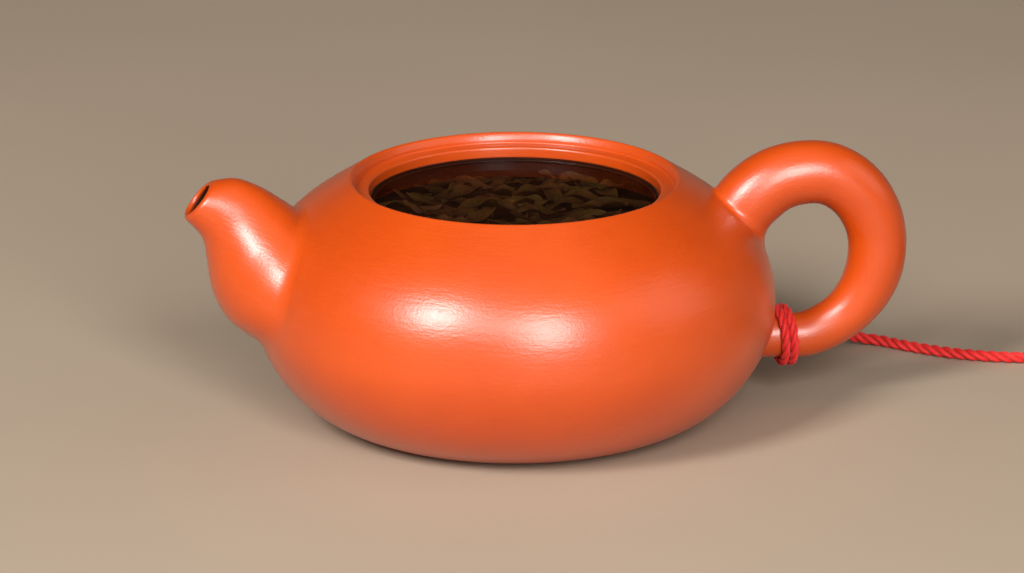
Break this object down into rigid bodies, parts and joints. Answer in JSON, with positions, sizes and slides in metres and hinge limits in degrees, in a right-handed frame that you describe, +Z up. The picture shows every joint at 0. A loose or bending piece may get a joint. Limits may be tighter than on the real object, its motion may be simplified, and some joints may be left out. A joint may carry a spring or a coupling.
{
  "type": "teapot",
  "caption": "Squat hand-built clay teapot with a stepped seat for an inset lid, a short one-bend spout and an ear handle; the lid stands beside it on its cord.",
  "frame": {"origin": "centre of the pot's flat underside, on the surface it stands on", "axes": "+Z up, +X from the spout towards the handle and the lid, +Y away from the side shown"},
  "size_m": [0.2318, 0.092, 0.0476],
  "materials": {
    "clay": "burnished unglazed clay with a soft sheen",
    "inner_clay": "matt unglazed clay",
    "cord": "twisted red cotton cord",
    "tea": "dark brewed tea",
    "tea_leaf": "wet tea leaves"
  },
  "bodies": {
    "pot": {"base_disc": "clay", "body_shell": "clay", "mouth_ring": "clay", "spout_strainer": "inner_clay", "spout": "clay", "handle": "clay", "handle_binding": "cord", "handle_knot": "cord", "tether_on_table": "cord"},
    "lid": {"lid_flange": "clay", "lid_plate": "clay", "lid_knob": "clay", "knob_loop": "cord", "knob_knot": "cord", "tether_on_lid": "cord"}
  },
  "joints": [
    {"name": "lid_lift", "type": "slide", "parent": "pot", "child": "lid", "axis": [0, 0, 1], "range_m": [0, 0.05]}
  ]
}
